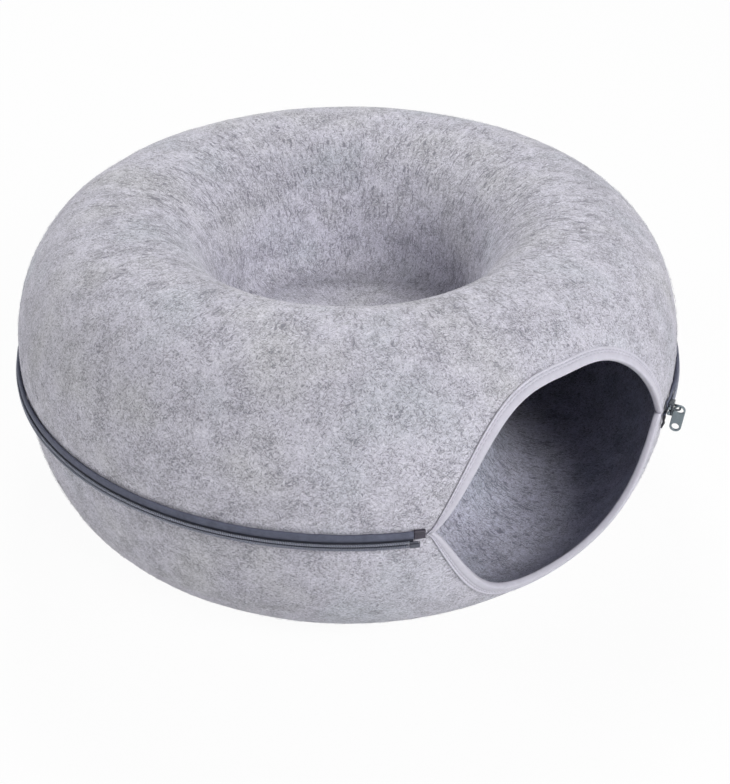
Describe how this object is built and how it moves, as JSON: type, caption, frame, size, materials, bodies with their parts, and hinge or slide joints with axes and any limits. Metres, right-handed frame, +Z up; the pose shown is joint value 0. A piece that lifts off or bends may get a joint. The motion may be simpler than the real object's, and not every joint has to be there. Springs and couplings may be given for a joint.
{
  "type": "donut cat bed",
  "caption": "Ring-shaped felt cat bed: two pressed halves zipped round the rim, an open nest in the middle and a tunnel inside with a bound oval entrance.",
  "frame": {"origin": "on the ground at the ring's axis", "axes": "+Z up along the ring's axis; the entrance faces 37.2 degrees from -Y towards +X"},
  "size_m": [0.501, 0.501, 0.2215],
  "materials": {
    "grey_wool_felt": "matt melange felt",
    "pale_binding_tape": "matt woven tape",
    "slate_zip_tape": "matt woven tape",
    "dark_end_film": "satin film",
    "dark_nylon_coil": "satin nylon",
    "grey_coated_zinc": "satin lacquer on die-cast zinc"
  },
  "bodies": {
    "lower_half": {"lower_shell": "grey_wool_felt", "lower_binding": "pale_binding_tape", "lower_zip_tape": "slate_zip_tape", "lower_zip_coil": "dark_nylon_coil", "lower_top_stop": "grey_coated_zinc", "zip_retaining_box": "dark_nylon_coil"},
    "upper_half": {"upper_shell": "grey_wool_felt", "upper_binding": "pale_binding_tape", "upper_zip_tape": "slate_zip_tape", "upper_zip_coil": "dark_nylon_coil", "upper_tape_end": "dark_end_film", "upper_top_stop": "grey_coated_zinc", "zip_insertion_pin": "dark_nylon_coil"},
    "slider": {"zip_slider_body": "grey_coated_zinc"},
    "pull": {"zip_pull_tab": "grey_coated_zinc"}
  },
  "joints": [
    {"name": "upper_half_lift", "type": "slide", "parent": "lower_half", "child": "upper_half", "axis": [0, 0, 1], "range_m": [0, 0.25]},
    {"name": "slider_travel", "type": "hinge", "parent": "lower_half", "child": "slider", "pos_m": [0, 0, 0], "axis": [0, 0, 1], "range_deg": [0, 300.9], "deforming": ["upper_zip_tape", "upper_zip_coil", "lower_zip_coil"]},
    {"name": "pull_swing", "type": "hinge", "parent": "slider", "child": "pull", "pos_m": [0.23473, -0.10266, 0.1108], "axis": [-0.4007, -0.9162, 0], "range_deg": [0, 150]}
  ]
}
